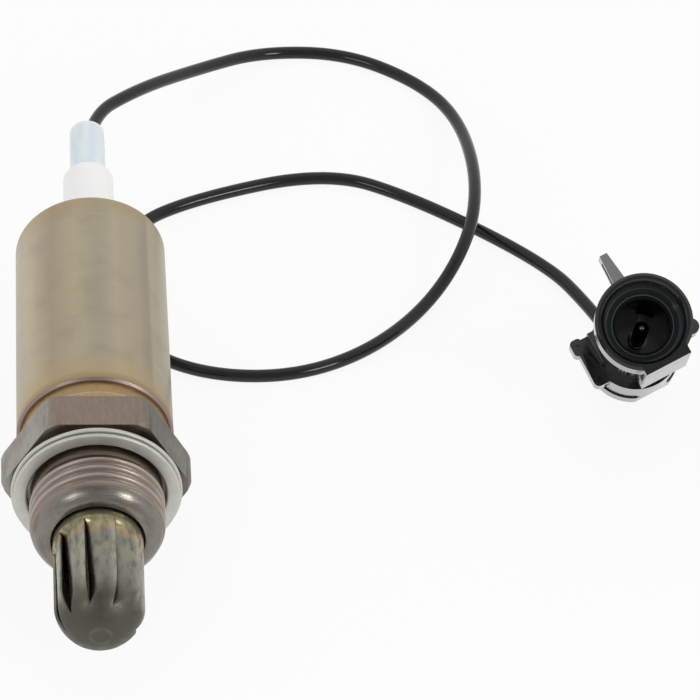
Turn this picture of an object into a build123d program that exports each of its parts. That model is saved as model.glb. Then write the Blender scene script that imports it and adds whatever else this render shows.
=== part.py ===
from build123d import *

import os
from math import cos, pi, radians, sin, tan

# Single-wire oxygen sensor with a louvred tip, its flying lead and a one-way sealed plug.
#
# Frame, in millimetres: origin on the thread's axis in the plane where the gasket seats. +Y runs to
# the rear, where the lead leaves, so the tip points to -Y. +Z is up, and the sensor lies on its
# gasket's rim, which stands just proud of the hexagon's flats. Turned pieces are drawn in Plane.XY,
# with X as the radius and Y as the station.

os.makedirs("parts", exist_ok=True)

# ---- Driving dimensions --------------------------------------------------------------------------

# Steel shell
THREAD_R = 9.0  # M18 x 1.5, at its major diameter
THREAD_START_Y = -6.9
SHELL_FRONT_Y = -8.1
SHELL_HOLE_R = 6.15
SHELL_NOSE_ROUND = 1.2
NECK_R = 8.2
SEAT_SHOULDER_R = 10.2
HEX_ACROSS_FLATS = 22.0
HEX_FRONT_Y = 2.2
HEX_REAR_Y = 7.75
HEX_FRONT_FACE_R = 10.9
HEX_REAR_FACE_R = 11.9
HEX_CORNER_R = 12.6
HEX_FRONT_CHAMFER = 1.0
HEX_REAR_CHAMFER = 0.4
RING_R = 10.3
RING_REAR_Y = 9.6
COLLAR_R = 9.9
CRIMP_Y = 20.2
SHELL_REAR_Y = 21.2
CRIMP_SHOULDER_Y = 18.6
CRIMP_EDGE_R = 8.5
CRIMP_LIP_R = 6.4
FRONT_BORE_R = 7.2
REAR_BORE_R = 7.8
BORE_STEP_Y = 3.2

# Folded crush gasket
GASKET_INNER_R = 9.35
GASKET_FRONT_R = 11.05
GASKET_REAR_R = 11.37
GASKET_THICKNESS = 1.3
GASKET_PLY = 0.58
GASKET_EDGE = 0.15

# Louvred protection tube
TUBE_R = 6.0
TUBE_WALL = 0.5
TIP_Y = -26.3
TUBE_FLANGE_R = 7.1
TUBE_FLANGE_Y = -5.9
POLE_DIMPLE_R = 1.25
POLE_DIMPLE_Y = -26.06
LOUVRES = 9
FIRST_LOUVRE = -19.0  # degrees from the top, towards +X
LOUVRE_FRONT_Y = -23.3
LOUVRE_DEEPEST_Y = -15.2
LOUVRE_REAR_Y = -10.1
LOUVRE_AXIS_R = 7.8  # each pressed-in panel is part of a barrel round this line
LOUVRE_FLOOR_R = 4.75
LOUVRE_FRONT_BARREL_R = 2.35
LOUVRE_REAR_BARREL_R = 1.8

# Sensing thimble and what seals it
SEAL_RING_Y = -5.4
SEAL_RING_INNER_R = 5.0
THIMBLE_COLLAR_Y = -4.9
THIMBLE_COLLAR_R = 7.1
THIMBLE_STEM_R = 5.0
THIMBLE_REAR_Y = 16.5
THIMBLE_TIP_Y = -22.6
THIMBLE_TIP_R = 2.9
THIMBLE_BORE_R = 2.3
THIMBLE_WAIST = (3.5, -8.0)  # radius and station
THIMBLE_NECK = (4.4, -6.1)
THIMBLE_SHOULDER = 1.8  # length of the cone behind the collar
BORE_TIP_R = 2.0
BORE_TIP_Y = -20.0
TALC_REAR_Y = 10.0
CERAMIC_REAR_Y = 19.2
CERAMIC_BORE_R = 5.1
CERAMIC_MOUTH = 0.6
CRIMP_RING_EDGE = 0.2

# Contact, rod and insulator
CONTACT_FRONT_Y = -12.0
CONTACT_SLEEVE_Y = 15.0
CONTACT_REAR_Y = 17.0
CONTACT_FLANGE_R = 4.8
CONTACT_WALL = 0.4
CONTACT_SLOT = 0.8
ROD_R = 1.2
ROD_TAIL_R = 0.8
ROD_TAIL_Y = 45.9
ROD_REAR_Y = 66.0
INSULATOR_NOSE_R = 4.9
INSULATOR_SHOULDER_Y = 22.2
INSULATOR_R = 8.9
INSULATOR_REAR_Y = 44.5
SPRING_REAR_Y = 45.9
SPRING_THICKNESS = 0.5

# Outer can
CAN_FRONT_Y = 12.0
CAN_REAR_Y = 49.4
CAN_FRONT_R = 10.5
CAN_REAR_R = 10.27
CAN_REAR_WALL = 0.55
CAN_REAR_ROUND = 0.9
CAN_FRONT_EDGE = 0.2

# Bushing, sleeve and crimp at the rear
BUSHING_R = 3.5
BUSHING_FLANGE_R = 6.0
BUSHING_REAR_Y = 64.5
SLEEVE_R = 2.475
SLEEVE_FRONT_Y = 57.0
SLEEVE_REAR_Y = 74.8
SLEEVE_END_BORE_R = 1.05
FERRULE_R = 1.7
FERRULE_FRONT_Y = 61.0
FERRULE_REAR_Y = 72.5

# Lead: where it lies, from the crimp to the plug
WIRE_R = 0.91
FLOOR_Z = -GASKET_REAR_R
LIE_Z = FLOOR_Z + WIRE_R
HUMP_Z = -5.5  # crossing over its own second stretch
BEND_SHARE = 0.45
LEAD_ROUTE = [
    (0.0, 68.5, 0.0),
    (0.0, 78.0, 0.0),
    (7.6, 87.0, -2.0),
    (16.5, 97.5, -7.0),
    (26.0, 105.7, LIE_Z),
    (38.5, 105.4, LIE_Z),
    (48.8, 98.8, LIE_Z),
    (54.0, 89.4, -9.4),
    (55.4, 72.3, HUMP_Z),
    (53.7, 59.1, HUMP_Z),
    (48.1, 50.7, LIE_Z),
    (38.9, 40.4, LIE_Z),
    (28.0, 35.1, LIE_Z),
    (16.0, 35.4, LIE_Z),
    (6.7, 40.7, LIE_Z),
    (5.1, 53.3, LIE_Z),
    (5.6, 66.2, LIE_Z),
    (15.0, 72.6, LIE_Z),
    (34.5, 78.8, LIE_Z),
    (47.0, 72.7, LIE_Z),
    (64.5, 58.8, LIE_Z),
    (70.0, 49.6, LIE_Z),
    (74.779, 38.337, LIE_Z),
    (74.037, 30.487, -1.162),
]

# Plug: it stands on the rim of its rear cap and leans towards the sensor's tip. In its own frame the
# stations run along its axis from the cap, and its y points up and away from the lock pad.
PLUG_ELEVATION = 49.7
PLUG_HEADING = -5.4  # degrees from -Y, towards +X
PLUG_ROLL = 31.3
PLUG_REAR_X = 74.524
PLUG_REAR_Y = 35.638
PLUG_LENGTH = 34.5
CAP_R = 6.35
CAP_LENGTH = 3.8
CAP_FLAT_Y = -5.8
CAP_HOLE_R = 1.2
CAP_WALL = 0.9
PARTING_GROOVE = 0.35
BODY_R = 6.15
BODY_LENGTH = 12.0
FLANGE_HALF_WIDTH = 7.5
FLANGE_LOW = -2.8
FLANGE_HIGH = 4.1
FLANGE_THICKNESS = 3.5
FLANGE_CORNER_R = 0.8
SHOULDER_X = (3.0, 5.5)  # low shoulders on both sides of the barrel, in front of the flange
SHOULDER_Y = (-0.3, 4.1)
SHOULDER_HEIGHT = 3.0
BARREL_R = 5.05
RIM_R = 6.55
RIM_START = 30.3
RIM_EDGE = 0.4
MOUTH_R = 5.3
MOUTH_DEPTH = 3.3
MOUTH_CHAMFER = 0.45
SOCKET_LEDGE_R = 4.9
SOCKET_R = 3.65
SOCKET_LEAD_IN = 1.2
SOCKET_FLOOR = 16.0
LOCK_PAD_START = 21.0
LOCK_PAD_X = (-3.1, 3.6)
LOCK_PAD_Y = -6.55
LUG_REAR = 9.0
LUG_FRONT = 12.6
LUG_R = 1.1
LUG_CENTRE = (7.8, -1.35)
EYE_LUG_CENTRE = (-7.25, 3.25)
EYE_LUG_SIZE = (1.7, 2.3)
EYE_LUG_CORNER_R = 0.6
EYE_R = 0.4
STRAP_STATIONS = (2.0, 5.9)  # from the leg on the cap to the leg on the body
STRAP_THICKNESS = 0.9
STRAP_REACH = 13.7
STRAP_INNER = 4.5
STRAP_ROOT_X = (1.85, 4.4)
STRAP_TIP_X = (2.0, 3.1)
STRAP_SLOT_START = 6.5
SEAL_BORE_R = 2.7
SEAL_RIB_CORE_R = 2.3
SEAL_RIBS = 3
SEAL_RIB_ROOT = 1.0
SEAL_RIB_CREST = 0.3
SEAL_REAR = 1.4
SEAL_FRONT = 5.4
TERMINAL_REAR = 5.7
TERMINAL_COLLAR = 12.8
TERMINAL_R = 1.65
TERMINAL_COLLAR_R = 1.3
WIRE_END = 8.0
PIN_R = 1.0
PIN_TIP = 28.5
PIN_TAPER = 1.0


# ---- Helpers -------------------------------------------------------------------------------------


def turned_face(*stations):
    """Fill the closed outline through (radius, station) points in the sketch that is open."""
    Polygon(*stations, align=None)


def radial_plane(angle):
    """Plane through the sensor's axis, its x along the radius at an angle from the top."""
    across, up = sin(radians(angle)), cos(radians(angle))
    return Plane(origin=(0, 0, 0), x_dir=(across, 0, up), z_dir=(-up, 0, across))


def louvre_angles():
    """Angles of the louvres' free edges, in degrees from the top."""
    return [FIRST_LOUVRE + i * 360 / LOUVRES for i in range(LOUVRES)]


def press_louvre(angle, wall=0.0):
    """Cut the half barrel of one pressed-in panel, grown by the wall's thickness, from the part."""
    plane = radial_plane(angle)
    barrel_axis = Axis(plane.from_local_coords((LOUVRE_AXIS_R, 0)), (0, -1, 0))
    front_r = LOUVRE_AXIS_R - LOUVRE_FRONT_BARREL_R - wall
    rear_r = LOUVRE_AXIS_R - LOUVRE_REAR_BARREL_R - wall
    front_y = LOUVRE_FRONT_Y - wall
    rear_y = LOUVRE_REAR_Y + wall
    with BuildSketch(plane) as half_section:
        with BuildLine():
            ThreePointArc(
                (front_r, front_y),
                (LOUVRE_FLOOR_R - wall, LOUVRE_DEEPEST_Y),
                (rear_r, rear_y),
            )
            Polyline(
                (rear_r, rear_y),
                (LOUVRE_AXIS_R, rear_y),
                (LOUVRE_AXIS_R, front_y),
                (front_r, front_y),
            )
        make_face()
    revolve(half_section.sketch, axis=barrel_axis, revolution_arc=180, mode=Mode.SUBTRACT)


def bend_radii(route):
    """Radius of each corner's arc: as large as its two runs allow."""
    points = [Vector(*p) for p in route]
    radii = []
    for before, corner, after in zip(points, points[1:], points[2:]):
        run_in, run_out = corner - before, after - corner
        shorter = min(run_in.length, run_out.length)
        half_turn = radians(run_in.get_angle(run_out)) / 2
        radii.append(BEND_SHARE * shorter / tan(half_turn))
    return radii




# ---- Shell, gasket and louvred tube --------------------------------------------------------------

with BuildPart() as hex_shell:
    with BuildSketch(Plane.XZ.offset(-HEX_REAR_Y)):
        RegularPolygon(HEX_ACROSS_FLATS / 2, 6, major_radius=False)
    extrude(amount=HEX_REAR_Y - HEX_FRONT_Y)
    with BuildSketch(Plane.XY):  # the hexagon's corners are turned off at both faces
        turned_face(
            (0, HEX_FRONT_Y),
            (HEX_FRONT_FACE_R, HEX_FRONT_Y),
            (HEX_CORNER_R, HEX_FRONT_Y + HEX_FRONT_CHAMFER),
            (HEX_CORNER_R, HEX_REAR_Y - HEX_REAR_CHAMFER),
            (HEX_REAR_FACE_R, HEX_REAR_Y),
            (0, HEX_REAR_Y),
        )
    revolve(axis=Axis.Y, mode=Mode.INTERSECT)
    with BuildSketch(Plane.XY):
        with BuildLine():
            front = Line((0, SHELL_FRONT_Y), (THREAD_R - SHELL_NOSE_ROUND, SHELL_FRONT_Y))
            TangentArc(front @ 1, (THREAD_R, THREAD_START_Y), tangent=front % 1)
            Polyline(
                (THREAD_R, THREAD_START_Y),
                (THREAD_R, 0),
                (NECK_R, 0),
                (NECK_R, GASKET_THICKNESS),
                (SEAT_SHOULDER_R, GASKET_THICKNESS),
                (SEAT_SHOULDER_R, HEX_REAR_Y),
                (RING_R, HEX_REAR_Y),
                (RING_R, RING_REAR_Y - 0.3),
                (RING_R - 0.3, RING_REAR_Y),
                (COLLAR_R, RING_REAR_Y),
                (COLLAR_R, CRIMP_SHOULDER_Y),
                (CRIMP_EDGE_R, SHELL_REAR_Y),
                (0, SHELL_REAR_Y),
                (0, SHELL_FRONT_Y),
            )
        make_face()
    revolve(axis=Axis.Y)
    with BuildSketch(Plane.XY):
        turned_face(
            (0, SHELL_FRONT_Y),
            (SHELL_HOLE_R + 0.4, SHELL_FRONT_Y),
            (SHELL_HOLE_R, SHELL_FRONT_Y + 0.4),
            (SHELL_HOLE_R, TUBE_FLANGE_Y),
            (FRONT_BORE_R, TUBE_FLANGE_Y),
            (FRONT_BORE_R, BORE_STEP_Y),
            (REAR_BORE_R, BORE_STEP_Y),
            (REAR_BORE_R, CRIMP_Y),
            (CRIMP_LIP_R, CRIMP_Y),
            (CRIMP_LIP_R, SHELL_REAR_Y),
            (0, SHELL_REAR_Y),
        )
    revolve(axis=Axis.Y, mode=Mode.SUBTRACT)

with BuildPart() as seat_gasket:  # one strip folded back on itself at its inner edge
    with BuildSketch(Plane.XY) as gasket_section:
        with Locations((GASKET_INNER_R, 0)):
            Rectangle(GASKET_FRONT_R - GASKET_INNER_R, GASKET_PLY, align=Align.MIN)
            Rectangle(GASKET_PLY, GASKET_THICKNESS, align=Align.MIN)
        with Locations((GASKET_INNER_R, GASKET_THICKNESS - GASKET_PLY)):
            Rectangle(GASKET_REAR_R - GASKET_INNER_R, GASKET_PLY, align=Align.MIN)
        corners = gasket_section.vertices().group_by(Axis.X)
        chamfer(corners[-1] + corners[-2] + corners[0], GASKET_EDGE)
    revolve(axis=Axis.Y)

with BuildPart() as tube_inside:  # space within the tube's wall, which the panels press into
    with BuildSketch(Plane.XY):
        with BuildLine():
            CenterArc((0, TIP_Y + TUBE_R), TUBE_R - TUBE_WALL, -90, 90)
            Polyline(
                (TUBE_R - TUBE_WALL, TIP_Y + TUBE_R),
                (TUBE_R - TUBE_WALL, SEAL_RING_Y),
                (0, SEAL_RING_Y),
                (0, TIP_Y + TUBE_WALL),
            )
        make_face()
    revolve(axis=Axis.Y)
    for louvre_angle in louvre_angles():
        press_louvre(louvre_angle, TUBE_WALL)

with BuildPart() as protection_tube:
    with BuildSketch(Plane.XY):
        with BuildLine():
            CenterArc((0, TIP_Y + TUBE_R), TUBE_R, -90, 90)
            Polyline(
                (TUBE_R, TIP_Y + TUBE_R),
                (TUBE_R, TUBE_FLANGE_Y),
                (TUBE_FLANGE_R, TUBE_FLANGE_Y),
                (TUBE_FLANGE_R, SEAL_RING_Y),
                (0, SEAL_RING_Y),
                (0, TIP_Y),
            )
        make_face()
    revolve(axis=Axis.Y)
    with BuildSketch(Plane.XZ.offset(-POLE_DIMPLE_Y)):
        Circle(POLE_DIMPLE_R)
    extrude(amount=POLE_DIMPLE_Y - TIP_Y, mode=Mode.SUBTRACT)
    for louvre_angle in louvre_angles():
        press_louvre(louvre_angle)
    add(tube_inside.part, mode=Mode.SUBTRACT)

# ---- Sensing thimble, its packing and its contact ------------------------------------------------

with BuildPart() as seat_seal_ring:
    with BuildSketch(Plane.XY):
        turned_face(
            (SEAL_RING_INNER_R, SEAL_RING_Y),
            (THIMBLE_COLLAR_R, SEAL_RING_Y),
            (THIMBLE_COLLAR_R, THIMBLE_COLLAR_Y),
            (SEAL_RING_INNER_R, THIMBLE_COLLAR_Y),
        )
    revolve(axis=Axis.Y)

with BuildPart() as sensing_thimble:  # one-end-closed zirconia cell
    with BuildSketch(Plane.XY):
        with BuildLine():
            CenterArc((0, THIMBLE_TIP_Y + THIMBLE_TIP_R), THIMBLE_TIP_R, -90, 90)
            Polyline(
                (THIMBLE_TIP_R, THIMBLE_TIP_Y + THIMBLE_TIP_R),
                THIMBLE_WAIST,
                THIMBLE_NECK,
                (SEAL_RING_INNER_R, THIMBLE_COLLAR_Y),
                (THIMBLE_COLLAR_R, THIMBLE_COLLAR_Y),
                (THIMBLE_COLLAR_R, BORE_STEP_Y),
                (THIMBLE_STEM_R, BORE_STEP_Y + THIMBLE_SHOULDER),
                (THIMBLE_STEM_R, THIMBLE_REAR_Y),
                (0, THIMBLE_REAR_Y),
                (0, THIMBLE_TIP_Y),
            )
        make_face()
    revolve(axis=Axis.Y)
    with BuildSketch(Plane.XY):
        with BuildLine():
            CenterArc((0, BORE_TIP_Y + BORE_TIP_R), BORE_TIP_R, -90, 90)
            Polyline(
                (BORE_TIP_R, BORE_TIP_Y + BORE_TIP_R),
                (THIMBLE_BORE_R, CONTACT_FRONT_Y),
                (THIMBLE_BORE_R, THIMBLE_REAR_Y),
                (0, THIMBLE_REAR_Y),
                (0, BORE_TIP_Y),
            )
        make_face()
    revolve(axis=Axis.Y, mode=Mode.SUBTRACT)

with BuildPart() as talc_packing:
    with BuildSketch(Plane.XY):
        turned_face(
            (THIMBLE_STEM_R, BORE_STEP_Y + THIMBLE_SHOULDER),
            (THIMBLE_COLLAR_R, BORE_STEP_Y),
            (REAR_BORE_R, BORE_STEP_Y),
            (REAR_BORE_R, TALC_REAR_Y),
            (THIMBLE_STEM_R, TALC_REAR_Y),
        )
    revolve(axis=Axis.Y)

with BuildPart() as support_ceramic:
    with BuildSketch(Plane.XY):
        turned_face(
            (CERAMIC_BORE_R, TALC_REAR_Y),
            (REAR_BORE_R, TALC_REAR_Y),
            (REAR_BORE_R, CERAMIC_REAR_Y),
            (CERAMIC_BORE_R + CERAMIC_MOUTH, CERAMIC_REAR_Y),
            (CERAMIC_BORE_R, CERAMIC_REAR_Y - CERAMIC_MOUTH),
        )
    revolve(axis=Axis.Y)

with BuildPart() as crimp_ring:  # soft ring that the shell's rolled lip bears on
    with BuildSketch(Plane.XY) as ring_section:
        with Locations((CRIMP_LIP_R, CERAMIC_REAR_Y)):
            Rectangle(REAR_BORE_R - CRIMP_LIP_R, CRIMP_Y - CERAMIC_REAR_Y, align=Align.MIN)
        chamfer(ring_section.vertices(), CRIMP_RING_EDGE)
    revolve(axis=Axis.Y)

with BuildPart() as contact_element:  # rolled sleeve in the cell's bore, flanged over its rear rim
    with BuildSketch(Plane.XY):
        turned_face(
            (THIMBLE_BORE_R - CONTACT_WALL, CONTACT_FRONT_Y),
            (THIMBLE_BORE_R, CONTACT_FRONT_Y),
            (THIMBLE_BORE_R, THIMBLE_REAR_Y),
            (CONTACT_FLANGE_R, THIMBLE_REAR_Y),
            (CONTACT_FLANGE_R, CONTACT_REAR_Y),
            (ROD_R, CONTACT_REAR_Y),
            (ROD_R, CONTACT_SLEEVE_Y),
            (THIMBLE_BORE_R - CONTACT_WALL, CONTACT_SLEEVE_Y),
        )
    revolve(axis=Axis.Y)
    with BuildSketch(Plane.XZ.offset(-CONTACT_SLEEVE_Y)):
        with Locations((0, THIMBLE_BORE_R)):
            Rectangle(CONTACT_SLOT, THIMBLE_BORE_R)
    extrude(amount=CONTACT_SLEEVE_Y - CONTACT_FRONT_Y, mode=Mode.SUBTRACT)

with BuildPart() as contact_rod:
    with BuildSketch(Plane.XY):
        turned_face(
            (0, CONTACT_SLEEVE_Y),
            (ROD_R, CONTACT_SLEEVE_Y),
            (ROD_R, ROD_TAIL_Y),
            (ROD_TAIL_R, ROD_TAIL_Y),
            (ROD_TAIL_R, ROD_REAR_Y),
            (0, ROD_REAR_Y),
        )
    revolve(axis=Axis.Y)

with BuildPart() as insulator_tube:
    with BuildSketch(Plane.XY):
        turned_face(
            (ROD_R, CONTACT_REAR_Y),
            (INSULATOR_NOSE_R, CONTACT_REAR_Y),
            (INSULATOR_NOSE_R, INSULATOR_SHOULDER_Y),
            (INSULATOR_R - 0.8, INSULATOR_SHOULDER_Y),
            (INSULATOR_R, INSULATOR_SHOULDER_Y + 0.8),
            (INSULATOR_R, INSULATOR_REAR_Y),
            (ROD_R, INSULATOR_REAR_Y),
        )
    revolve(axis=Axis.Y)

# ---- Can, spring, bushing and sleeve -------------------------------------------------------------

with BuildPart() as outer_can:
    with BuildSketch(Plane.XY) as can_section:
        turned_face(
            (COLLAR_R, CAN_FRONT_Y),
            (CAN_FRONT_R, CAN_FRONT_Y),
            (CAN_REAR_R, CAN_REAR_Y),
            (BUSHING_R, CAN_REAR_Y),
            (BUSHING_R, CAN_REAR_Y - CAN_REAR_WALL),
            (CAN_REAR_R - CAN_REAR_WALL, CAN_REAR_Y - CAN_REAR_WALL),
            (COLLAR_R, SHELL_REAR_Y),
        )
        rear_corner = can_section.vertices().group_by(Axis.Y)[-1].sort_by(Axis.X)[-1]
        fillet(rear_corner, CAN_REAR_ROUND)
        front_corner = can_section.vertices().group_by(Axis.Y)[0].sort_by(Axis.X)[-1]
        chamfer(front_corner, CAN_FRONT_EDGE)
    revolve(axis=Axis.Y)

with BuildPart() as disc_spring:  # dished washer that loads the insulator against the contact
    with BuildSketch(Plane.XY):
        turned_face(
            (BUSHING_R + 0.4, SPRING_REAR_Y),
            (BUSHING_R + 0.4, SPRING_REAR_Y - SPRING_THICKNESS),
            (INSULATOR_R - 0.2, INSULATOR_REAR_Y),
            (INSULATOR_R - 0.2, INSULATOR_REAR_Y + SPRING_THICKNESS),
            (BUSHING_FLANGE_R - 0.6, SPRING_REAR_Y),
        )
    revolve(axis=Axis.Y)

with BuildPart() as rear_bushing:
    with BuildSketch(Plane.XY):
        turned_face(
            (ROD_TAIL_R, SPRING_REAR_Y),
            (BUSHING_FLANGE_R, SPRING_REAR_Y),
            (BUSHING_FLANGE_R, CAN_REAR_Y - CAN_REAR_WALL),
            (BUSHING_R, CAN_REAR_Y - CAN_REAR_WALL),
            (BUSHING_R, BUSHING_REAR_Y - 0.15),
            (BUSHING_R - 0.15, BUSHING_REAR_Y),
            (SLEEVE_R, BUSHING_REAR_Y),
            (SLEEVE_R, SLEEVE_FRONT_Y),
            (ROD_TAIL_R, SLEEVE_FRONT_Y),
        )
    revolve(axis=Axis.Y)

with BuildPart() as lead_sleeve:
    with BuildSketch(Plane.XY):
        turned_face(
            (FERRULE_R, SLEEVE_FRONT_Y),
            (SLEEVE_R, SLEEVE_FRONT_Y),
            (SLEEVE_R, SLEEVE_REAR_Y - 0.15),
            (SLEEVE_R - 0.15, SLEEVE_REAR_Y),
            (SLEEVE_END_BORE_R, SLEEVE_REAR_Y),
            (SLEEVE_END_BORE_R, FERRULE_REAR_Y),
            (FERRULE_R, FERRULE_REAR_Y),
        )
    revolve(axis=Axis.Y)

with BuildPart() as crimp_ferrule:
    with BuildSketch(Plane.XY):
        turned_face(
            (ROD_TAIL_R, FERRULE_FRONT_Y),
            (FERRULE_R, FERRULE_FRONT_Y),
            (FERRULE_R, FERRULE_REAR_Y),
            (WIRE_R, FERRULE_REAR_Y),
            (WIRE_R, LEAD_ROUTE[0][1]),
            (0, LEAD_ROUTE[0][1]),
            (0, ROD_REAR_Y),
            (ROD_TAIL_R, ROD_REAR_Y),
        )
    revolve(axis=Axis.Y)

# ---- Lead ----------------------------------------------------------------------------------------

lead_radii = bend_radii(LEAD_ROUTE)

with BuildPart() as lead_wire:
    with BuildLine() as lead_path:
        FilletPolyline(*LEAD_ROUTE, radius=lead_radii)
    with BuildSketch(Plane(origin=LEAD_ROUTE[0], z_dir=(0, 1, 0))):
        Circle(WIRE_R)
    sweep()

lead_length = sum(edge.length for edge in lead_path.edges())
print("lead bend radii, mm:", [round(radius, 1) for radius in lead_radii])
print(f"lead length {lead_length:.1f} mm")
print(f"lead volume {lead_wire.part.volume:.1f}, {pi * WIRE_R**2 * lead_length:.1f} mm3")

# ---- Plug ----------------------------------------------------------------------------------------

plug_lean = radians(PLUG_ELEVATION)
plug_heading = radians(PLUG_HEADING)
plug_rear = Vector(PLUG_REAR_X, PLUG_REAR_Y, FLOOR_Z + CAP_R * cos(plug_lean))
plug_ahead = Vector(sin(plug_heading), -cos(plug_heading), 0) * cos(plug_lean) + Vector(0, 0, sin(plug_lean))
plug_level = Vector(cos(plug_heading), sin(plug_heading), 0)
plug_frame = Plane(
    origin=plug_rear,
    x_dir=plug_level.rotate(Axis(plug_rear, plug_ahead), PLUG_ROLL),
    z_dir=plug_ahead,
)
plug_axis = Axis(plug_frame.origin, plug_frame.z_dir)
plug_section = Plane(origin=plug_frame.origin, x_dir=plug_frame.x_dir, z_dir=-plug_frame.y_dir)
strap_section = Plane(origin=plug_frame.origin, x_dir=plug_frame.y_dir, z_dir=plug_frame.x_dir)

with BuildPart() as connector_housing:
    # cap, the parting line before it, body, barrel and rim
    with BuildSketch(plug_section):
        turned_face(
            (0, 0),
            (CAP_R, 0),
            (CAP_R, CAP_LENGTH),
            (BODY_R - PARTING_GROOVE, CAP_LENGTH),
            (BODY_R - PARTING_GROOVE, CAP_LENGTH + PARTING_GROOVE),
            (BODY_R, CAP_LENGTH + PARTING_GROOVE),
            (BODY_R, BODY_LENGTH),
            (BARREL_R, BODY_LENGTH),
            (BARREL_R, RIM_START - RIM_EDGE),
            (RIM_R, RIM_START),
            (RIM_R, PLUG_LENGTH - RIM_EDGE),
            (RIM_R - RIM_EDGE, PLUG_LENGTH),
            (0, PLUG_LENGTH),
        )
    revolve(axis=plug_axis)
    # flange across the body, and a shoulder on it at each side of the barrel
    with BuildSketch(plug_frame.offset(BODY_LENGTH - FLANGE_THICKNESS)):
        with Locations((0, (FLANGE_LOW + FLANGE_HIGH) / 2)):
            RectangleRounded(2 * FLANGE_HALF_WIDTH, FLANGE_HIGH - FLANGE_LOW, FLANGE_CORNER_R)
    extrude(amount=FLANGE_THICKNESS)
    with BuildSketch(plug_frame.offset(BODY_LENGTH)):
        with Locations((SHOULDER_X[0], SHOULDER_Y[0])):
            Rectangle(SHOULDER_X[1] - SHOULDER_X[0], SHOULDER_Y[1] - SHOULDER_Y[0], align=Align.MIN)
        mirror(about=Plane.YZ)
    extrude(amount=SHOULDER_HEIGHT)
    # lock pad under the barrel
    with BuildSketch(plug_frame.offset(LOCK_PAD_START)):
        with Locations((LOCK_PAD_X[0], LOCK_PAD_Y)):
            Rectangle(LOCK_PAD_X[1] - LOCK_PAD_X[0], -LOCK_PAD_Y - SOCKET_R, align=Align.MIN)
    extrude(amount=PLUG_LENGTH - LOCK_PAD_START)
    # lugs at two corners of the flange, one with an eye
    with BuildSketch(plug_frame.offset(LUG_REAR)):
        with Locations(LUG_CENTRE):
            Circle(LUG_R)
        with Locations(EYE_LUG_CENTRE):
            RectangleRounded(*EYE_LUG_SIZE, EYE_LUG_CORNER_R)
    extrude(amount=LUG_FRONT - LUG_REAR)
    with BuildSketch(plug_frame.offset(BODY_LENGTH)):
        with Locations(EYE_LUG_CENTRE):
            Circle(EYE_R)
    extrude(amount=LUG_FRONT - BODY_LENGTH, mode=Mode.SUBTRACT)
    # flat under the cap
    with BuildSketch(plug_frame):
        with Locations((0, CAP_FLAT_Y)):
            Rectangle(2 * CAP_R, CAP_R, align=(Align.CENTER, Align.MAX))
    extrude(amount=CAP_LENGTH, mode=Mode.SUBTRACT)
    # living-hinge strap from the cap to the body, slotted between its two legs
    with BuildSketch(plug_frame.offset(STRAP_STATIONS[0])):
        Polygon(
            (STRAP_ROOT_X[0], STRAP_INNER),
            (STRAP_ROOT_X[1], STRAP_INNER),
            (STRAP_TIP_X[1], STRAP_REACH),
            (STRAP_TIP_X[0], STRAP_REACH),
            align=None,
        )
    extrude(amount=STRAP_STATIONS[1] - STRAP_STATIONS[0])
    with BuildSketch(strap_section):
        with Locations((STRAP_SLOT_START, STRAP_STATIONS[0] + STRAP_THICKNESS)):
            Rectangle(
                STRAP_REACH - STRAP_THICKNESS - STRAP_SLOT_START,
                STRAP_STATIONS[1] - STRAP_STATIONS[0] - 2 * STRAP_THICKNESS,
                align=Align.MIN,
            )
    extrude(amount=STRAP_ROOT_X[1], both=True, mode=Mode.SUBTRACT)
    # socket, terminal passage and seal bore
    with BuildSketch(plug_section):
        turned_face(
            (0, 0),
            (CAP_HOLE_R, 0),
            (CAP_HOLE_R, CAP_WALL),
            (SEAL_BORE_R, CAP_WALL),
            (SEAL_BORE_R, TERMINAL_REAR),
            (TERMINAL_R, TERMINAL_REAR),
            (TERMINAL_R, TERMINAL_COLLAR),
            (TERMINAL_COLLAR_R, TERMINAL_COLLAR),
            (TERMINAL_COLLAR_R, SOCKET_FLOOR),
            (SOCKET_R, SOCKET_FLOOR),
            (SOCKET_R, PLUG_LENGTH - MOUTH_DEPTH - SOCKET_LEAD_IN),
            (SOCKET_LEDGE_R, PLUG_LENGTH - MOUTH_DEPTH),
            (MOUTH_R, PLUG_LENGTH - MOUTH_DEPTH),
            (MOUTH_R, PLUG_LENGTH - MOUTH_CHAMFER),
            (MOUTH_R + MOUTH_CHAMFER, PLUG_LENGTH),
            (0, PLUG_LENGTH),
        )
    revolve(axis=plug_axis, mode=Mode.SUBTRACT)

with BuildPart() as cable_seal:
    with BuildSketch(plug_section):
        turned_face(
            (WIRE_R, SEAL_REAR),
            (SEAL_RIB_CORE_R, SEAL_REAR),
            (SEAL_RIB_CORE_R, SEAL_FRONT),
            (WIRE_R, SEAL_FRONT),
        )
    revolve(axis=plug_axis)
    for rib in range(SEAL_RIBS):
        rib_station = SEAL_REAR + (rib + 0.5) * (SEAL_FRONT - SEAL_REAR) / SEAL_RIBS
        with BuildSketch(plug_section):
            turned_face(
                (WIRE_R, rib_station - SEAL_RIB_ROOT / 2),
                (SEAL_RIB_CORE_R, rib_station - SEAL_RIB_ROOT / 2),
                (SEAL_BORE_R, rib_station - SEAL_RIB_CREST / 2),
                (SEAL_BORE_R, rib_station + SEAL_RIB_CREST / 2),
                (SEAL_RIB_CORE_R, rib_station + SEAL_RIB_ROOT / 2),
                (WIRE_R, rib_station + SEAL_RIB_ROOT / 2),
            )
        revolve(axis=plug_axis)

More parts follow.
